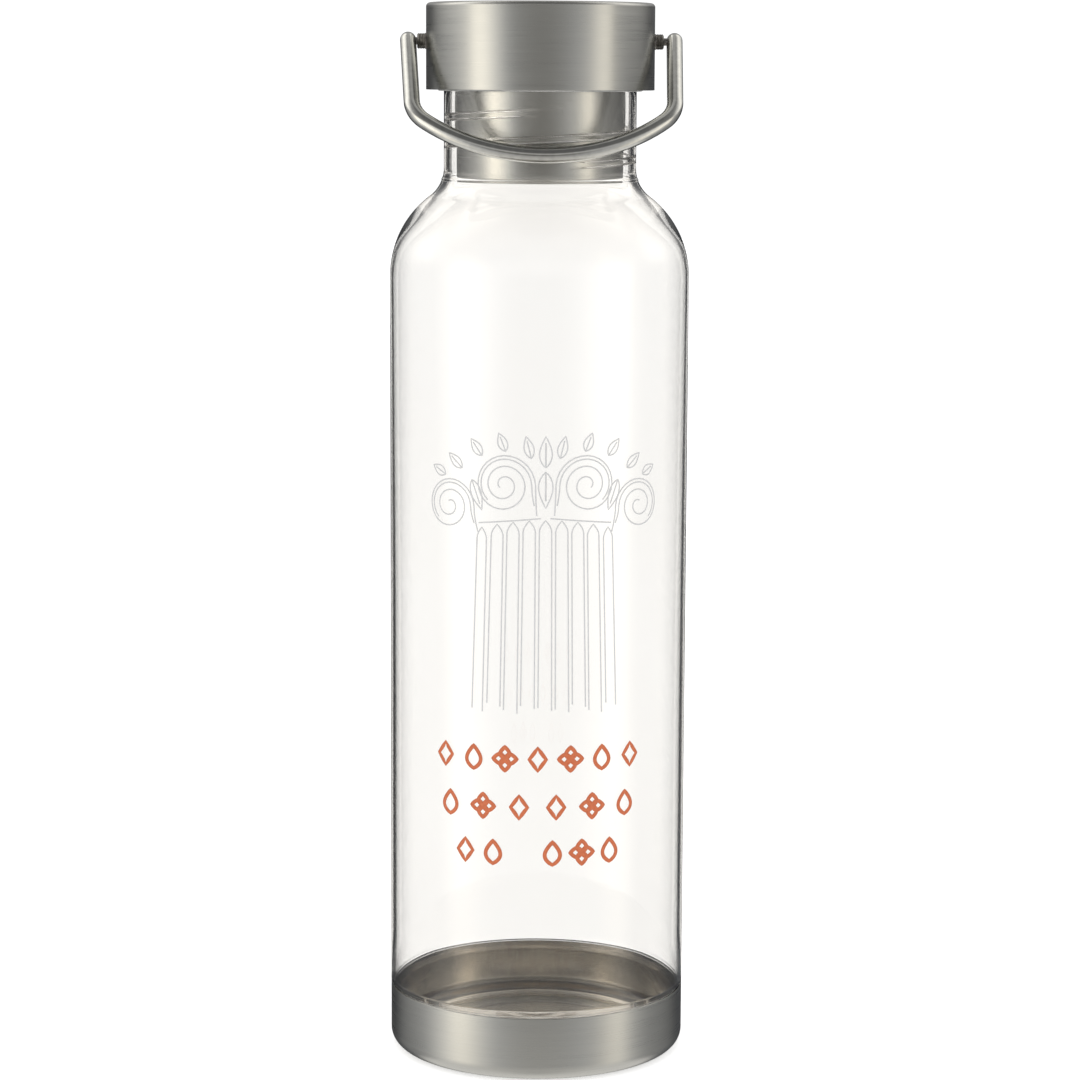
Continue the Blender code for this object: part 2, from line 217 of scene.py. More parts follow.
for i, (r, z) in enumerate(under):
    share = max(0.0, (z - SHOULDER_Z) / (NECK_FOOT_Z - SHOULDER_Z))
    swell = math.sin(math.pi * share ** 1.7) ** 2
    wall = THIN_WALL + (NECK_R - NECK_BORE - THIN_WALL) * share + SHOULDER_SWELL * swell
    before = under[max(i - 1, 0)]
    after = under[min(i + 1, len(under) - 1)]
    run = Vector((after[0] - before[0], after[1] - before[1])).normalized()
    if z < NECK_FOOT_Z - 0.5 * MM:
        inner.append((r - wall * run.y, z + wall * run.x))
inner += [(NECK_BORE, thread_low + (thread_high - thread_low) * i / THREAD_ROWS)
          for i in range(THREAD_ROWS + 1)]
inner += rounded([(NECK_BORE, thread_high + 1 * MM, 0), (NECK_BORE, NECK_RIM_Z, 0.4 * MM),
                  (NECK_BORE + 0.5 * MM, NECK_RIM_Z, 0)])

shape = turned(outer + inner)
for vert in shape.verts:
    x, y, z = vert.co
    r = math.hypot(x, y)
    angle = math.atan2(y, x)
    if abs(r - NECK_BORE) < 0.02 * MM:
        shrink = 1 - RIDGE * thread_height(angle % (2 * math.pi), z) / r
        vert.co = (x * shrink, y * shrink, z)
    if 4 * MM < z < foot_top and 33 * MM < r < SPIGOT_R - 0.5 * MM:
        vert.co *= 1 - 0.006 * max(0.0, 1 - abs(angle - SEAM_ANGLE) / math.radians(1.6))
body = finished("bottle_body_fine", shape, 55)


def new_material(name):
    """A node material with its Principled shader, its node list and its object coordinates."""
    made = bpy.data.materials.new(name)
    made.use_nodes = True
    nodes = made.node_tree.nodes
    shader = nodes["Principled BSDF"]
    place = nodes.new("ShaderNodeTexCoord").outputs["Object"]
    return made, shader, nodes, made.node_tree.links, place


def noise(nodes, links, place, scale, detail=2.0, stretch=None):
    """A noise pattern of so many grains a metre, stretched along the axes if asked."""
    if stretch:
        mapping = nodes.new("ShaderNodeMapping")
        mapping.inputs["Scale"].default_value = stretch
        links.new(place, mapping.inputs["Vector"])
        place = mapping.outputs["Vector"]
    pattern = nodes.new("ShaderNodeTexNoise")
    pattern.inputs["Scale"].default_value = scale
    pattern.inputs["Detail"].default_value = detail
    links.new(place, pattern.inputs["Vector"])
    return pattern.outputs["Fac"]


def ranged(nodes, links, value, low, high):
    """The pattern's middle range spread between two values."""
    spread = nodes.new("ShaderNodeMapRange")
    spread.inputs["From Min"].default_value = 0.3
    spread.inputs["From Max"].default_value = 0.7
    spread.inputs["To Min"].default_value = low
    spread.inputs["To Max"].default_value = high
    links.new(value, spread.inputs["Value"])
    return spread.outputs["Result"]


def two_colours(nodes, links, value, first, second):
    """A colour that runs from the first to the second as the pattern rises."""
    ramp = nodes.new("ShaderNodeValToRGB")
    ramp.color_ramp.elements[0].position = 0.3
    ramp.color_ramp.elements[0].color = (*first, 1)
    ramp.color_ramp.elements[1].position = 0.7
    ramp.color_ramp.elements[1].color = (*second, 1)
    links.new(value, ramp.inputs["Fac"])
    return ramp.outputs["Color"]


def bumped(nodes, links, shader, value, distance, strength=1.0):
    """Fine relief of this height, in metres, on the shader's normal."""
    bump = nodes.new("ShaderNodeBump")
    bump.inputs["Strength"].default_value = strength
    bump.inputs["Distance"].default_value = distance
    links.new(value, bump.inputs["Height"])
    links.new(bump.outputs["Normal"], shader.inputs["Normal"])


clear, shader, nodes, links, place = new_material("clear_body")
shader.inputs["Transmission Weight"].default_value = 1.0
shader.inputs["IOR"].default_value = 1.5
tint = noise(nodes, links, place, 30.0)
links.new(two_colours(nodes, links, tint, (0.992, 0.99, 0.985), (1.0, 1.0, 0.997)),
          shader.inputs["Base Color"])
shader.inputs["Roughness"].default_value = 0.0
depth = nodes.new("ShaderNodeVolumeAbsorption")
depth.inputs["Color"].default_value = (0.93, 0.895, 0.84, 1)
depth.inputs["Density"].default_value = 110.0
links.new(depth.outputs["Volume"], nodes["Material Output"].inputs["Volume"])
flow = noise(nodes, links, place, 1.0, 1.0, stretch=(55, 55, 14))
bumped(nodes, links, shader, flow, 0.00002, 0.35)

body.data.materials.append(clear)
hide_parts("bottle_body")
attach(body, "bottle")

# ---- Print --------------------------------------------------------------------------------
# Two screen-printed inks lie on the body: thin grey lines that draw a tuft of reeds and ferns,
# and three rows of plain orange ornaments. Each ink is a film about 0.02 mm thick.

PRINT_R = BODY_R + 0.018 * MM
FILM = 0.011 * MM
PRINT_TURN = math.radians(-2.2)   # the print faces this far round from the bail's side
GREY_LINE = 0.19 * MM             # half the width of a printed line
ORANGE_LINE = 0.56 * MM
ROLL_IN = 0.86                    # a fern's tip rolls in to this much less than its first radius


def tube(name, radius, resolution):
    """An empty curve that is drawn as a round wire."""
    curve = bpy.data.curves.new(name, "CURVE")
    curve.dimensions = "3D"
    curve.bevel_depth = radius
    curve.bevel_resolution = resolution
    curve.use_fill_caps = True
    return curve


def tube_shape(curve):
    """The curve's wire as a bmesh."""
    line = bpy.data.objects.new(curve.name, curve)
    bpy.context.scene.collection.objects.link(line)
    graph = bpy.context.evaluated_depsgraph_get()
    mesh = bpy.data.meshes.new_from_object(line.evaluated_get(graph))
    bpy.data.objects.remove(line)
    shape = bmesh.new()
    shape.from_mesh(mesh)
    return shape


def inked(name, strokes, half_width):
    """Strokes, each a closed flag and points (u, z) in mm, as a film wrapped round the body."""
    curve = tube(name, half_width, 1)
    for is_closed, points in strokes:
        fine = [points[0]]
        for (u0, z0), (u1, z1) in zip(points, points[1:] + points[:1] if is_closed else points[1:]):
            steps = max(1, math.ceil(abs(u1 - u0) / 0.7))
            shares = [k / steps for k in range(1, steps + 1)]
            fine += [(u0 + (u1 - u0) * share, z0 + (z1 - z0) * share) for share in shares]
        if is_closed:
            fine.pop()
        spline = curve.splines.new("POLY")
        spline.points.add(len(fine) - 1)
        for point, (u, z) in zip(spline.points, fine):
            point.co = (u * MM, 0.0, z * MM, 1.0)
        spline.use_cyclic_u = is_closed
    shape = tube_shape(curve)
    for vert in shape.verts:
        u, depth, z = vert.co
        r = PRINT_R - depth / half_width * FILM
        angle = u / BODY_R + PRINT_TURN
        vert.co = (r * math.sin(angle), -r * math.cos(angle), z)
    made = bpy.data.meshes.new(name)
    shape.to_mesh(made)
    shape.free()
    obj = bpy.data.objects.new(name, made)
    bpy.context.scene.collection.objects.link(obj)
    return obj


def leaf(u, z, lean, length, width, rib=0.8):
    """A pointed leaf's outline and its midrib, from its root, leaning from upright."""
    along = Vector((math.sin(math.radians(lean)), math.cos(math.radians(lean))))
    side = Vector((along.y, -along.x))
    root = Vector((u, z))
    edge = []
    for i in range(15):
        t = i / 14
        edge.append((t * length, width / 2 * math.sin(math.pi * t ** 0.8)))
    outline = [root + along * a + side * b for a, b in edge]
    outline += [root + along * a - side * b for a, b in edge[-2:0:-1]]
    made = [(True, [tuple(p) for p in outline])]
    if rib:
        made.append((False, [tuple(root), tuple(root + along * length * rib)]))
    return made


def curl(centre, radius, start, turns, side, roll_in):
    """A fern's rolled tip, wound inwards from this angle until its radius is less by roll_in."""
    steps = round(28 * turns)
    points = []
    for i in range(steps + 1):
        t = i / steps
        angle = math.radians(start) - side * 2 * math.pi * turns * t
        r = radius * (1 - roll_in * t)
        points.append((centre[0] + r * math.cos(angle), centre[1] + r * math.sin(angle)))
    return points


def crook(foot, centre, radius, side, turns):
    """A stalk that rises from its foot to a rolled tip, with a short second line inside it."""
    start = 0 if side < 0 else 180
    drawn = []
    for inset, wound, first in ((0.0, turns, 0), (0.9, 0.62, 2)):
        reach = centre[0] - side * (radius - inset) - foot[0]
        rise = [(foot[0] + reach * math.sin(math.pi / 2 * k / 6), foot[1] + (centre[1] - foot[1]) * k / 6)
                for k in range(first, 6)]
        roll = curl(centre, radius - inset, start, wound, side, ROLL_IN * wound / turns)
        drawn.append((False, rise + roll))
    return drawn


def reed(u, foot_z, top_z, half, lean):
    """A reed with a pointed tip: up one side, over and down the other."""
    rising = [(1, 0), (0.92, 0.7), (0.66, 1.5), (0.3, 2.2)]
    tip = [(-a, b) for a, b in rising] + [(0, 2.7)] + rising[::-1]
    top = [(u + half * a, top_z + b) for a, b in tip]
    foot = [(u - half * 1.12 - lean, foot_z), (u + half * 1.12 - lean, foot_z - 0.7)]
    return [(False, [foot[0]] + top + [foot[1]])]


REED_PITCH = 3.85
CROWN_LEAVES = (                  # place round and up, lean, length
    (3.4, 151.8, 14, 5.4),
    (9.5, 153.4, 22, 4.6),
    (15.4, 152.2, 36, 4.8),
    (20.6, 149.0, 48, 5.0),
    (25.4, 147.2, 62, 4.2),
)
TUFT_SHIFT = 1.6                  # the tuft stands this far to one side of the rows' middle

grey_strokes = []
for i in range(-4, 5):
    half = 1.2 if abs(i) == 4 else 1.45
    foot_z = 92.2 + 0.8 * math.sin(3.7 * i)
    grey_strokes += reed(REED_PITCH * i, foot_z, 134.4 - 0.12 * i * i, half, -0.28 * i)
for side in (-1, 1):
    grey_strokes += crook((side * 2.1, 138.2), (side * 10.0, 145.4), 7.6, side, 2.6)
    grey_strokes += crook((side * 16.4, 134.0), (side * 24.2, 140.0), 6.8, side, 2.3)
    for u, z, lean, length in CROWN_LEAVES:
        grey_strokes += leaf(side * u, z, side * lean, length, 2.3)
    grey_strokes += leaf(side * 18.0, 146.4, side * 200, 7.6, 2.6)
    grey_strokes.append((False, [(side * 1.1, 137.6), (side * 16.2, 136.2)]))
grey_strokes += leaf(0, 149.6, 0, 7.4, 3.0)
grey_strokes += leaf(0, 148.6, 180, 8.6, 3.4)
grey_strokes = [(is_closed, [(u + TUFT_SHIFT, z) for u, z in points]) for is_closed, points in grey_strokes]

LOZENGE = [(0, 2.75), (2.0, 0), (0, -2.75), (-2.0, 0)]


def ornament(kind, u, z):
    """The strokes of one plain ornament, about 6.7 mm high with its line's width."""
    if kind == "lozenge":
        return [(True, [(u + a, z + b) for a, b in LOZENGE])]
    if kind == "leaf":
        return leaf(u, z - 2.8, 0, 5.6, 3.7, 0)
    petals = []
    for turn in (0, 90, 180, 270):
        petals += leaf(u, z, turn, 2.9, 2.3, 0)
    return petals


ROWS = (                          # height, pitch, ornaments from left to right
    (79.7, 7.9, ("lozenge", "leaf", "flower", "lozenge", "flower", "leaf", "lozenge")),
    (68.0, 8.9, ("leaf", "flower", "lozenge", "lozenge", "flower", "leaf")),
    (56.8, 7.2, ("lozenge", "leaf", None, "leaf", "flower", "leaf")),
)
orange_strokes = []
for row_z, pitch_u, kinds in ROWS:
    for k, kind in enumerate(kinds):
        if kind:
            orange_strokes += ornament(kind, (k - (len(kinds) - 1) / 2) * pitch_u, row_z)


def mottled(name, pattern, colours, roughness, relief, stretch=None):
    """A material and its shader: one noise varies its colour, roughness and relief together."""
    made, shader, nodes, links, place = new_material(name)
    mottle = noise(nodes, links, place, pattern[0], pattern[1], stretch)
    links.new(two_colours(nodes, links, mottle, colours[0], colours[1]), shader.inputs["Base Color"])
    links.new(ranged(nodes, links, mottle, roughness[0], roughness[1]), shader.inputs["Roughness"])
    bumped(nodes, links, shader, mottle, relief[0], relief[1])
    return made, shader


grey_ink, shader = mottled("grey_ink", (1600.0, 3.0), ((0.56, 0.56, 0.56), (0.49, 0.49, 0.495)),
                           (0.45, 0.60), (0.000005, 0.5))
orange_ink, shader = mottled("orange_ink", (1600.0, 3.0),
                             ((0.575, 0.143, 0.047), (0.50, 0.108, 0.033)),
                             (0.42, 0.57), (0.000005, 0.5))

art = inked("print_grey_lines", grey_strokes, GREY_LINE)
art.data.materials.append(grey_ink)
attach(art, "bottle")
ornaments = inked("print_orange_rows", orange_strokes, ORANGE_LINE)
ornaments.data.materials.append(orange_ink)
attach(ornaments, "bottle")

# ---- Base bond ----------------------------------------------------------------------------
# A ring of clear silicone adhesive under the foot holds the body in its cup. It is laid as a
# bead and pressed flat, so its edges are round.

low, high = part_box("base_bond")
middle = (low.z + high.z) / 2
half = (high.z - low.z) / 2
bead = arc(31.0 * MM, middle, half, 90, -90, 8) + arc(27.8 * MM, middle, half, -90, -270, 8)
bond = finished("base_bond_bead", turned(bead, steps=120))

silicone, shader = mottled("clear_silicone", (400.0, 3.0), ((0.36, 0.36, 0.345), (0.46, 0.46, 0.44)),
                           (0.38, 0.55), (0.00003, 0.4))
shader.inputs["Subsurface Weight"].default_value = 0.25
shader.inputs["Subsurface Radius"].default_value = (0.002, 0.002, 0.002)
bond.data.materials.append(silicone)
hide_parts("base_bond")
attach(bond, "bottle")

# ---- Base cup -----------------------------------------------------------------------------
# The cup is deep-drawn from 0.6 mm stainless sheet, trimmed at the rim and brushed round its
# side on a lathe. The middle of its floor is pressed up so that it stands on a ring.

CUP_R = 36.45 * MM
SHEET = 0.6 * MM

outside = rounded([(CUP_R - 0.3 * MM, CUP_RIM_Z, 0), (CUP_R, CUP_RIM_Z, 0.12 * MM),
                   (CUP_R, 0.0, 4.0 * MM), (27.0 * MM, 0.0, 0.8 * MM),
                   (26.0 * MM, 0.4 * MM, 0.8 * MM), (0.0, 0.4 * MM, 0)], 12)
inside = rounded([(0.0, 1.0 * MM, 0), (26.0 * MM, 1.0 * MM, 0.5 * MM),
                  (27.0 * MM, 0.6 * MM, 0.5 * MM), (CUP_R - SHEET, 0.6 * MM, 3.4 * MM),
                  (CUP_R - SHEET, CUP_RIM_Z, 0.12 * MM), (CUP_R - 0.3 * MM, CUP_RIM_Z, 0)], 12)
cup = finished("base_cup_fine", turned(outside + inside[:-1]), 50)


def brushed_steel(name, dark, light, roughness, grain=1.0, aniso=0.65):
    """Stainless sheet brushed round the bottle's axis, with fine lines that catch the light."""
    made, shader, nodes, links, place = new_material(name)
    parts = nodes.new("ShaderNodeSeparateXYZ")
    links.new(place, parts.inputs["Vector"])
    flat = nodes.new("ShaderNodeVectorMath")
    flat.operation = "MULTIPLY"
    flat.inputs[1].default_value = (1, 1, 0)
    links.new(place, flat.inputs[0])
    radius = nodes.new("ShaderNodeVectorMath")
    radius.operation = "LENGTH"
    links.new(flat.outputs["Vector"], radius.inputs[0])
    across = nodes.new("ShaderNodeMath")
    across.operation = "ADD"
    links.new(radius.outputs["Value"], across.inputs[0])
    links.new(parts.outputs["Z"], across.inputs[1])
    lines = nodes.new("ShaderNodeCombineXYZ")
    links.new(parts.outputs["X"], lines.inputs["X"])
    links.new(parts.outputs["Y"], lines.inputs["Y"])
    links.new(across.outputs["Value"], lines.inputs["Z"])
    fine = noise(nodes, links, lines.outputs["Vector"], 1.0, 3.0, stretch=(70, 70, 7000))
    broad = noise(nodes, links, lines.outputs["Vector"], 1.0, 2.0, stretch=(30, 30, 900))
    both = nodes.new("ShaderNodeMath")
    both.operation = "MULTIPLY_ADD"
    both.inputs[1].default_value = 0.6
    links.new(fine, both.inputs[0])
    scaled = nodes.new("ShaderNodeMath")
    scaled.operation = "MULTIPLY"
    scaled.inputs[1].default_value = 0.4
    links.new(broad, scaled.inputs[0])
    links.new(scaled.outputs["Value"], both.inputs[2])
    brush = both.outputs["Value"]
    links.new(two_colours(nodes, links, brush, dark, light), shader.inputs["Base Color"])
    links.new(ranged(nodes, links, brush, roughness - 0.05 * grain, roughness + 0.05 * grain),
              shader.inputs["Roughness"])
    shader.inputs["Metallic"].default_value = 1.0
    shader.inputs["Anisotropic"].default_value = aniso
    shader.inputs["Anisotropic Rotation"].default_value = 0.25
    tangent = nodes.new("ShaderNodeTangent")
    tangent.direction_type = "RADIAL"
    tangent.axis = "Z"
    links.new(tangent.outputs["Tangent"], shader.inputs["Tangent"])
    bumped(nodes, links, shader, brush, 0.000004 * grain, 0.4)
    return made


cup_steel = brushed_steel("cup_brushed_steel", (0.535, 0.535, 0.51), (0.595, 0.595, 0.567), 0.30)
cup.data.materials.append(cup_steel)

# The cup's inside faces get a second steel. It is drawn, not brushed, and smoother. Its brighter, warmer
# colour is painted bounce light, standing in for light reflected back and forth between the steel walls
# inside the cup.
drawn_steel_painted_bounce, shader = mottled("cup_drawn_steel_painted_bounce", (1.0, 3.0), ((0.635, 0.6, 0.54), (0.68, 0.645, 0.585)),
                              (0.17, 0.21), (0.000002, 0.3), stretch=(900, 900, 300))
shader.inputs["Metallic"].default_value = 0.95
cup.data.materials.append(drawn_steel_painted_bounce)
# The inner wall and the floor inside take the steel with the painted bounce light.
for face in cup.data.polygons:
    x, y, z = face.center
    inward = face.normal.x * x + face.normal.y * y < -0.3 * math.hypot(x, y)
    if z > 0.55 * MM and (inward or face.normal.z > 0.3) and math.hypot(x, y) < CUP_R - 0.5 * MM:
        face.material_index = 1
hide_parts("base_cup")
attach(cup, "bottle")

# ---- Plug sleeve --------------------------------------------------------------------------
# The plug under the lid is a drawn steel sleeve, turned to a fine finish. Its bottom is closed
# and round-edged, and a small step narrows its tip. The thread ridge of the frame's own sleeve
# is left off here.

PLUG_R = 20.7 * MM
PLUG_TIP_R = 20.25 * MM
PLUG_TIP_Z = 224.5 * MM
PLUG_WALL = 0.8 * MM
plug_low, plug_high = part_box("plug_sleeve")
step_z = PLUG_TIP_Z + 0.8 * MM

wall = [(PLUG_R, plug_high.z), (PLUG_R, step_z + 0.11 * MM), (PLUG_R, step_z),
        (PLUG_TIP_R, PLUG_TIP_Z), (PLUG_TIP_R, PLUG_TIP_Z - 0.12 * MM)]
end = rounded([(PLUG_TIP_R, 216.8 * MM, 0), (PLUG_TIP_R, plug_low.z, 1.2 * MM),
               (0.0, plug_low.z, 0)], 10)
floor_up = plug_low.z + PLUG_WALL
bore = rounded([(0.0, floor_up, 0), (PLUG_TIP_R - PLUG_WALL, floor_up, 0.4 * MM),
                (PLUG_TIP_R - PLUG_WALL, PLUG_TIP_Z, 0),
                (PLUG_R - PLUG_WALL, step_z, 0), (PLUG_R - PLUG_WALL, plug_high.z, 0)])
shape = turned(wall + end + bore)
plug = finished("plug_sleeve_fine", shape, 55)

plug_steel = brushed_steel("plug_turned_steel", (0.60, 0.60, 0.572), (0.645, 0.645, 0.615), 0.27, 0.1, 0.6)
plug.data.materials.append(plug_steel)
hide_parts("plug_sleeve")
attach(plug, "lid")

# ---- Neck gasket --------------------------------------------------------------------------
# A moulded silicone ring with an L section: the neck's rim presses into its groove. It rises
# with the lid but doesn't turn with it.

low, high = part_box("neck_gasket")
groove_r = NECK_R + 0.3 * MM
groove_z = NECK_RIM_Z + 0.3 * MM
section = rounded([(22 * MM, high.z, 0), (high.x, high.z, 0.3 * MM), (high.x, low.z, 0.35 * MM),
                   (groove_r, low.z, 0.35 * MM), (groove_r, groove_z, 0.1 * MM),
                   (21.0 * MM, groove_z, 0.2 * MM), (21.0 * MM, high.z, 0.2 * MM),
                   (22 * MM, high.z, 0)])
gasket = finished("neck_gasket_fine", turned(section[:-1], steps=180))
gasket.data.materials.append(silicone)
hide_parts("neck_gasket")
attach(gasket, "lid_ring")

# ---- Lid core -----------------------------------------------------------------------------
# The core is an injection-moulded polypropylene part inside the lid. Only the lower edge of
# its skirt shows, round the gasket, so the frame's own solid is kept.

core_plastic, shader = mottled("core_polypropylene", (900.0, 3.0),
                               ((0.15, 0.15, 0.145), (0.19, 0.19, 0.18)),
                               (0.40, 0.52), (0.00002, 0.3))


def finish_node(name, finish):
    """Gives a kept CAD node its finish."""
    mesh = frame["nodes"][name].data
    mesh.materials.clear()
    mesh.materials.append(finish)


finish_node("lid_core", core_plastic)

# ---- Lid shell ----------------------------------------------------------------------------
# The lid's outer cap is drawn from 0.7 mm stainless sheet and brushed round on a lathe. Its
# top edge is rounded, its lower edge is trimmed and broken. The side holes for the bushings,
# which the bushings hide, are left out.

LID_R = 27.66 * MM
LID_WALL = 0.7 * MM
lid_low, lid_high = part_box("lid_shell")
cap = rounded([(0.0, lid_high.z, 0), (LID_R, lid_high.z, 1.0 * MM), (LID_R, lid_low.z, 0.15 * MM),
               (LID_R - LID_WALL, lid_low.z, 0.15 * MM),
               (LID_R - LID_WALL, lid_high.z - LID_WALL, 0.4 * MM),
               (0.0, lid_high.z - LID_WALL, 0)], 10)
cap.insert(-1, (20 * MM, lid_high.z - LID_WALL))
cap.insert(1, (20 * MM, lid_high.z))
shell = finished("lid_shell_fine", turned(cap, closed=False), 50)

lid_steel = brushed_steel("lid_brushed_steel", (0.535, 0.535, 0.51), (0.595, 0.595, 0.567), 0.30)
shell.data.materials.append(lid_steel)
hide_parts("lid_shell")
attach(shell, "lid")

# ---- Pivot bushings and nuts --------------------------------------------------------------
# A turned bushing passes through each side of the lid and is held by a thin nut inside. Its
# outer end is chamfered and its thread shows as fine rings between the shell and the arm.

PIVOT_Z = frame["joints"][2]["pos_m"][2]
BUSHING_R = 1.9 * MM
PIN_R = 0.9 * MM


def lathe_x(name, profile, side, steps=64):
    """A turned piece along X, on one side of the lid, from a profile of (r, x) points."""
    shape = turned(profile, steps=steps)
    bmesh.ops.rotate(shape, verts=shape.verts, matrix=Matrix.Rotation(side * math.pi / 2, 3, "Y"))
    bmesh.ops.translate(shape, verts=shape.verts, vec=(0, 0, PIVOT_Z))
    return finished(name, shape, 35)


pivot_steel, shader = mottled("pivot_dark_steel", (1500.0, 4.0), ((0.16, 0.15, 0.14), (0.34, 0.33, 0.31)),
                              (0.28, 0.5), (0.00002, 0.5))
shader.inputs["Metallic"].default_value = 1.0

for side, label in ((-1, "left"), (1, "right")):
    low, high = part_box("pivot_bushing_" + label)
    near = min(abs(low.x), abs(high.x))
    far = max(abs(low.x), abs(high.x))
    bore_r = 1.0 * MM
    rings = []
    for i in range(9):
        x = LID_R + 0.25 * MM + i * (far - LID_R - 0.6 * MM) / 8
        rings.append((BUSHING_R - (0.16 * MM if i % 2 else 0.0), x))
    profile = [(bore_r, near), (BUSHING_R - 0.2 * MM, near), (BUSHING_R, near + 0.2 * MM)]
    profile += [(BUSHING_R, LID_R - 1 * MM)] + rings
    profile += [(BUSHING_R - 0.35 * MM, far), (bore_r, far)]
    bushing = lathe_x("pivot_bushing_fine_" + label, profile, side)
    bushing.data.materials.append(pivot_steel)
    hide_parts("pivot_bushing_" + label)
    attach(bushing, "lid")
    finish_node("pivot_nut_" + label, pivot_steel)

# ---- Bail and its pins --------------------------------------------------------------------
# The bail is 3.9 mm stainless wire, bent to shape and tumbled smooth. A thin pin pressed into
# each arm turns in the bushing, so the bail swings over the lid and rests on the neck.

WIRE_R = 1.95 * MM
ARM_X = 32.22 * MM
ARM_LEAN = math.radians(2.4)
ARM_ABOVE = 0.35 * MM
BEND_R = 8.8 * MM
BAR_R = 42.75 * MM
BAR_REACH = 36.95 * MM
HANG = math.radians(43.7)
SIDE_PLAY = 0.25 * MM             # the bail rests this far to one side


def bail_half():
    """(x, reach) of the wire's centre from the middle of the bar to the pivot."""
    bar_centre = BAR_REACH - BAR_R
    along = Vector((-math.sin(ARM_LEAN), math.cos(ARM_LEAN)))
    inward = Vector((-math.cos(ARM_LEAN), -math.sin(ARM_LEAN)))
    start = Vector((ARM_X, -bar_centre)) + BEND_R * inward
    half_b = start.dot(along)
    run = -half_b + math.sqrt(half_b ** 2 - start.length_squared + (BAR_R - BEND_R) ** 2)
    centre = start + run * along + Vector((0, bar_centre))
    meet = math.atan2(centre.y - bar_centre, centre.x)
    bar = [Vector((BAR_R * math.cos(a), bar_centre + BAR_R * math.sin(a)))
           for a in (math.pi / 2 + (meet - math.pi / 2) * i / 40 for i in range(40))]
    bend = [centre + BEND_R * Vector((math.cos(a), math.sin(a)))
            for a in (meet + (ARM_LEAN - meet) * i / 24 for i in range(25))]
    arm = [Vector((ARM_X, 0)) + along * run * (1 - i / 12) for i in range(1, 13)]
    return bar + bend + arm


half = [(p, 1.0) for p in bail_half()]
for i in range(1, 13):
    out = ARM_ABOVE + WIRE_R * math.sin(math.radians(7.4 * i))
    half.append((Vector((ARM_X + out * math.sin(ARM_LEAN), -out)), math.cos(math.radians(7.4 * i))))
whole = [(Vector((-p.x, p.y)), f) for p, f in reversed(half[1:])] + half

curve = tube("bail_line", WIRE_R, 12)
spline = curve.splines.new("POLY")
spline.points.add(len(whole) - 1)
for point, (place_xy, factor) in zip(spline.points, whole):
    x, reach = place_xy
    point.co = (x + SIDE_PLAY, -math.sin(HANG) * reach, PIVOT_Z - math.cos(HANG) * reach, 1.0)
    point.radius = factor
bail = finished("bail_wire", tube_shape(curve), 60)

wire_steel, shader = mottled("bail_satin_steel", (700.0, 4.0), ((0.58, 0.58, 0.555), (0.67, 0.67, 0.64)),
                             (0.12, 0.17), (0.000008, 0.5))
shader.inputs["Metallic"].default_value = 1.0
bail.data.materials.append(wire_steel)
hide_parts("handle")
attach(bail, "handle")

for side, label in ((-1, "left"), (1, "right")):
    low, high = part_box("pivot_pin_" + label)
    near = min(abs(low.x), abs(high.x))
    far = max(abs(low.x), abs(high.x)) - 0.05 * MM
    profile = [(0.0, near), (PIN_R - 0.2 * MM, near), (PIN_R, near + 0.2 * MM), (PIN_R, far), (0.0, far)]
    pin = lathe_x("pivot_pin_fine_" + label, profile, side, 48)
    pin.data.materials.append(pivot_steel)
    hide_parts("pivot_pin_" + label)
    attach(pin, "handle")

# ---- Studio -------------------------------------------------------------------------------
# A pale floor, a white surround, a light tent round the bottle and a bright card behind it.
# The tent and the card are fixed to the camera. The tent shows in reflections and through the
# clear body, and the card only through it.

camera_data = bpy.data.cameras.new("camera")
camera_data.lens = 108.07
camera_data.sensor_width = 36.0
camera_data.clip_start = 0.05
camera_data.clip_end = 20.0
camera = bpy.data.objects.new("camera", camera_data)
bpy.context.scene.collection.objects.link(camera)
azimuth = math.radians(-2.4)
distance = 0.7927
across = 0.00042
down = math.radians(8.2)
roll = math.radians(0.26)
turn = Matrix.Rotation(azimuth, 4, "Z")
stand = Matrix.Translation((across, -distance, 0.2415))
aim = Matrix.Rotation(math.pi / 2 - down, 4, "X") @ Matrix.Rotation(roll, 4, "Z")
camera.matrix_world = turn @ stand @ aim
bpy.context.scene.camera = camera

shape = bmesh.new()
bmesh.ops.create_circle(shape, cap_ends=True, segments=96, radius=4.0)
floor = finished("floor", shape)
paper, shader, nodes, links, place = new_material("pale_floor")
fibre = noise(nodes, links, place, 250.0, 3.0)
links.new(two_colours(nodes, links, fibre, (0.84, 0.84, 0.84), (0.86, 0.86, 0.86)),
          shader.inputs["Base Color"])
shader.inputs["Roughness"].default_value = 0.9
shader.inputs["Emission Color"].default_value = (1, 1, 1, 1)
shader.inputs["Emission Strength"].default_value = 0.45
floor.data.materials.append(paper)
floor.visible_glossy = False
floor.visible_transmission = False
floor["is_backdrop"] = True

world = bpy.data.worlds.new("surround")
bpy.context.scene.world = world
world.use_nodes = True
world.node_tree.nodes["Background"].inputs["Color"].default_value = (1, 1, 1, 1)
world.node_tree.nodes["Background"].inputs["Strength"].default_value = 1.1
world.cycles_visibility.glossy = False
world.cycles_visibility.transmission = False


def round_ramp(nodes, links, share, stops):
    """The tent's light over the direction from -180 to 180, from stops of (direction, light, warmth)."""
    ramp = nodes.new("ShaderNodeValToRGB")
    ramp.color_ramp.interpolation = "LINEAR"
    elements = ramp.color_ramp.elements
    elements.remove(elements[1])
    for i, (direction, light, warmth) in enumerate(stops):
        at = (direction + 180) / 360
        element = elements[0] if i == 0 else elements.new(at)
        element.position = at
        level = light / 2
        element.color = (level, level * (1 - 0.35 * warmth), level * (1 - warmth), 1)
    links.new(share, ramp.inputs["Fac"])
    return ramp.outputs["Color"]


MIX_COLOUR_A = 6                  # the places of a Mix node's colour sockets
MIX_COLOUR_B = 7
MIX_COLOUR_RESULT = 2


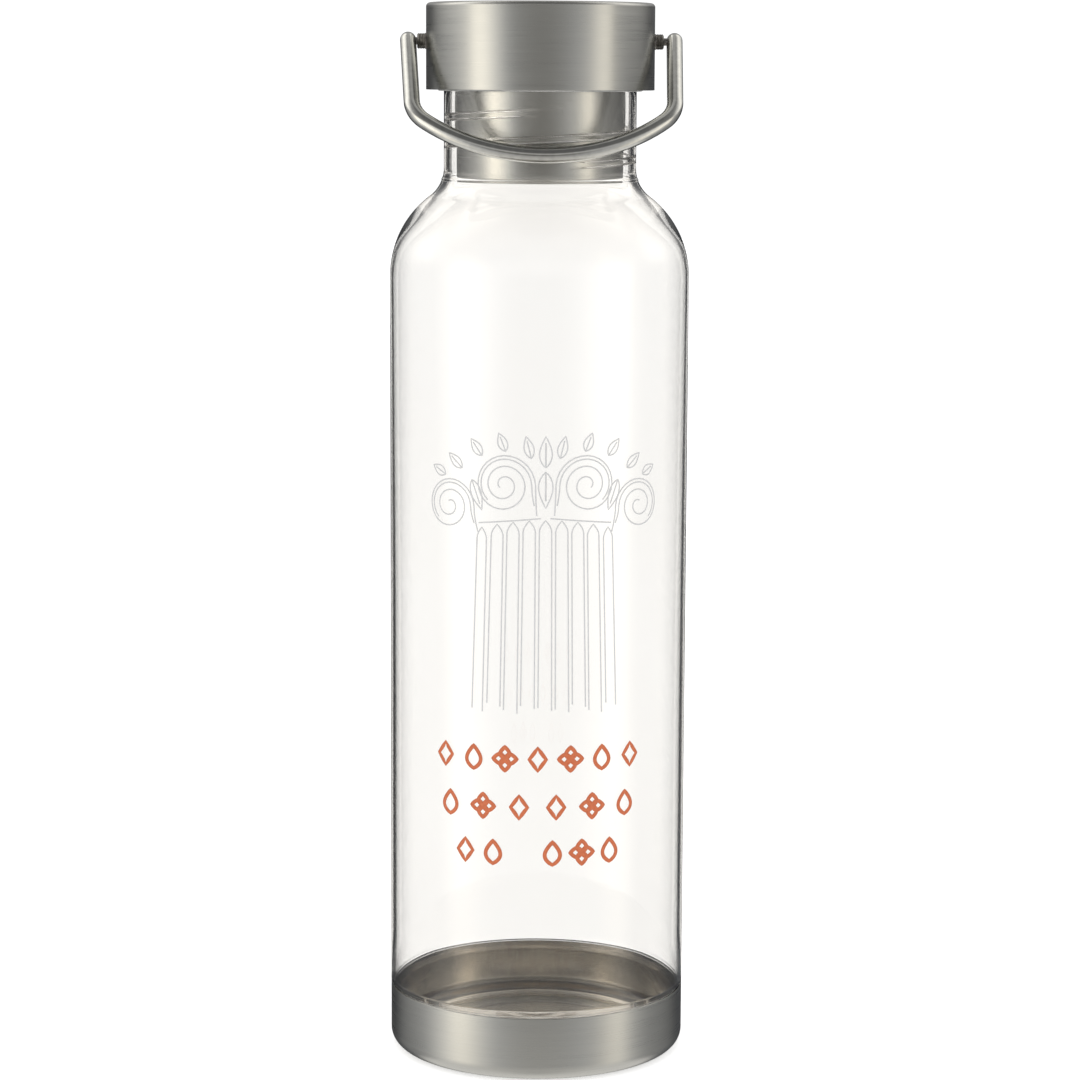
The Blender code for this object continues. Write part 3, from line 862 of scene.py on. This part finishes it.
def glowing(name):
    """The tent's light, by the direction round the bottle and by the height."""
    made = bpy.data.materials.new(name)
    made.use_nodes = True
    nodes = made.node_tree.nodes
    links = made.node_tree.links
    nodes.clear()
    place = nodes.new("ShaderNodeTexCoord").outputs["Object"]
    parts = nodes.new("ShaderNodeSeparateXYZ")
    links.new(place, parts.inputs["Vector"])
    angle = nodes.new("ShaderNodeMath")
    angle.operation = "ARCTAN2"
    links.new(parts.outputs["X"], angle.inputs[0])
    links.new(parts.outputs["Z"], angle.inputs[1])
    share = nodes.new("ShaderNodeMapRange")
    share.inputs["From Min"].default_value = -math.pi
    share.inputs["From Max"].default_value = math.pi
    links.new(angle.outputs["Value"], share.inputs["Value"])
    light = round_ramp(nodes, links, share.outputs["Result"], [(d, level, w) for d, level, low, w in TENT])
    zones = (
        ([(d, low, w) for d, level, low, w in TENT], -0.15, -0.42),
        (TENT_FOOT, -0.56, -0.66),
        (TENT_BROW, 0.02, 0.10),
        (TENT_ROOF, 0.22, 0.42),
        (TENT_CROWN, 0.93, 0.985),
    )
    for stops, begins, ends in zones:
        height = nodes.new("ShaderNodeMapRange")
        height.inputs["From Min"].default_value = begins * TENT_R
        height.inputs["From Max"].default_value = ends * TENT_R
        links.new(parts.outputs["Y"], height.inputs["Value"])
        mix = nodes.new("ShaderNodeMix")
        mix.data_type = "RGBA"
        links.new(height.outputs["Result"], mix.inputs["Factor"])
        links.new(light, mix.inputs[MIX_COLOUR_A])
        links.new(round_ramp(nodes, links, share.outputs["Result"], stops), mix.inputs[MIX_COLOUR_B])
        light = mix.outputs[MIX_COLOUR_RESULT]
    glow = nodes.new("ShaderNodeEmission")
    glow.inputs["Strength"].default_value = 2.0
    links.new(light, glow.inputs["Color"])
    out = nodes.new("ShaderNodeOutputMaterial")
    links.new(glow.outputs["Emission"], out.inputs["Surface"])
    return made


def studio_only(obj, glossy, transmission):
    """A stage piece that the camera and the floor don't see."""
    obj.visible_camera = False
    obj.visible_diffuse = False
    obj.visible_shadow = False
    obj.visible_glossy = glossy
    obj.visible_transmission = transmission
    obj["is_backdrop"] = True
    obj.parent = camera


TENT_R = 1.6
TENT = (                          # direction, light level with the lid, light lower down, warmth
    (-180, 0.06, 0.10, -0.10), (-150, 0.04, 0.08, -0.10), (-138, 0.06, 0.24, -0.05),
    (-120, 0.30, 0.25, 0.0), (-99, 0.47, 0.41, 0.0), (-85, 0.75, 0.80, 0.04),
    (-76, 1.05, 1.02, 0.08), (-67, 1.85, 1.30, 0.14), (-58, 1.90, 1.22, 0.14),
    (-50, 1.47, 0.97, 0.10), (-42, 1.00, 0.78, 0.05), (-33, 0.55, 0.60, 0.0),
    (-24, 0.31, 0.56, 0.02), (-12, 0.22, 0.50, 0.04), (0, 0.17, 0.49, 0.05),
    (12, 0.21, 0.48, 0.04), (24, 0.34, 0.47, 0.02), (36, 0.52, 0.51, 0.0),
    (48, 0.72, 0.60, 0.04), (56, 1.08, 0.77, 0.10), (64, 1.40, 0.97, 0.14),
    (71, 1.30, 1.07, 0.14), (78, 0.56, 0.87, 0.08), (86, 0.46, 0.53, 0.02),
    (98, 0.29, 0.37, 0.0), (112, 0.25, 0.30, 0.0), (126, 0.17, 0.26, 0.0),
    (140, 0.05, 0.20, -0.05), (152, 0.06, 0.10, -0.15), (180, 0.06, 0.10, -0.10),
)
TENT_ROOF = (                     # direction, light, warmth
    (-180, 0.35, 0.0), (-140, 0.40, 0.0), (-120, 0.95, 0.05), (-100, 1.80, 0.08), (-82, 1.30, 0.06),
    (-62, 0.40, 0.02), (-30, 0.15, 0.0), (0, 0.13, 0.0), (30, 0.15, 0.0), (62, 0.30, 0.02),
    (82, 0.90, 0.05), (100, 1.50, 0.08), (120, 1.00, 0.05), (140, 0.45, 0.0), (180, 0.35, 0.0),
)
TENT_BROW = [(d, max(level, 0.52) if abs(d) < 40 else level, w) for d, level, low, w in TENT]
TENT_CROWN = ((-180, 0.50, 0.03), (0, 0.50, 0.03), (180, 0.50, 0.03))
TENT_FOOT = (
    (-180, 0.95, 0.05), (-120, 0.90, 0.05), (-80, 0.85, 0.05), (-40, 0.66, 0.06), (0, 0.58, 0.06),
    (40, 0.66, 0.06), (80, 0.85, 0.05), (120, 0.90, 0.05), (180, 0.95, 0.05),
)
shape = bmesh.new()
bmesh.ops.create_uvsphere(shape, u_segments=48, v_segments=24, radius=TENT_R)
tent = finished("light_tent", shape)
tent.data.materials.append(glowing("tent_cloth"))
tent.matrix_world = Matrix.Translation((0, 0, -0.82))
studio_only(tent, True, True)

shape = bmesh.new()
bmesh.ops.create_grid(shape, x_segments=1, y_segments=1, size=0.5)
bmesh.ops.scale(shape, verts=shape.verts, vec=(0.39, 1.6, 1))
card = finished("back_card", shape)
white = bpy.data.materials.new("back_card_white")
white.use_nodes = True
nodes = white.node_tree.nodes
links = white.node_tree.links
nodes.clear()
parts = nodes.new("ShaderNodeSeparateXYZ")
links.new(nodes.new("ShaderNodeTexCoord").outputs["Object"], parts.inputs["Vector"])
off_middle = nodes.new("ShaderNodeMath")
off_middle.operation = "ABSOLUTE"
links.new(parts.outputs["X"], off_middle.inputs[0])
level = nodes.new("ShaderNodeMapRange")
level.inputs["From Min"].default_value = 0.055
level.inputs["From Max"].default_value = 0.110
level.inputs["To Min"].default_value = 1.08
level.inputs["To Max"].default_value = 1.42
links.new(off_middle.outputs["Value"], level.inputs["Value"])
glow = nodes.new("ShaderNodeEmission")
glow.inputs["Color"].default_value = (1.0, 0.995, 0.985, 1)
links.new(level.outputs["Result"], glow.inputs["Strength"])
out = nodes.new("ShaderNodeOutputMaterial")
links.new(glow.outputs["Emission"], out.inputs["Surface"])
card.data.materials.append(white)
card.matrix_world = Matrix.Translation((0, 0, -1.35))
studio_only(card, False, True)

bpy.context.scene.view_settings.view_transform = "Standard"
LIGHT_BOUNCES = 28                # light crosses the faces of the clear body many times
bpy.context.scene.cycles.max_bounces = LIGHT_BOUNCES
bpy.context.scene.cycles.transmission_bounces = LIGHT_BOUNCES
bpy.context.scene.cycles.glossy_bounces = 10

low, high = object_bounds()
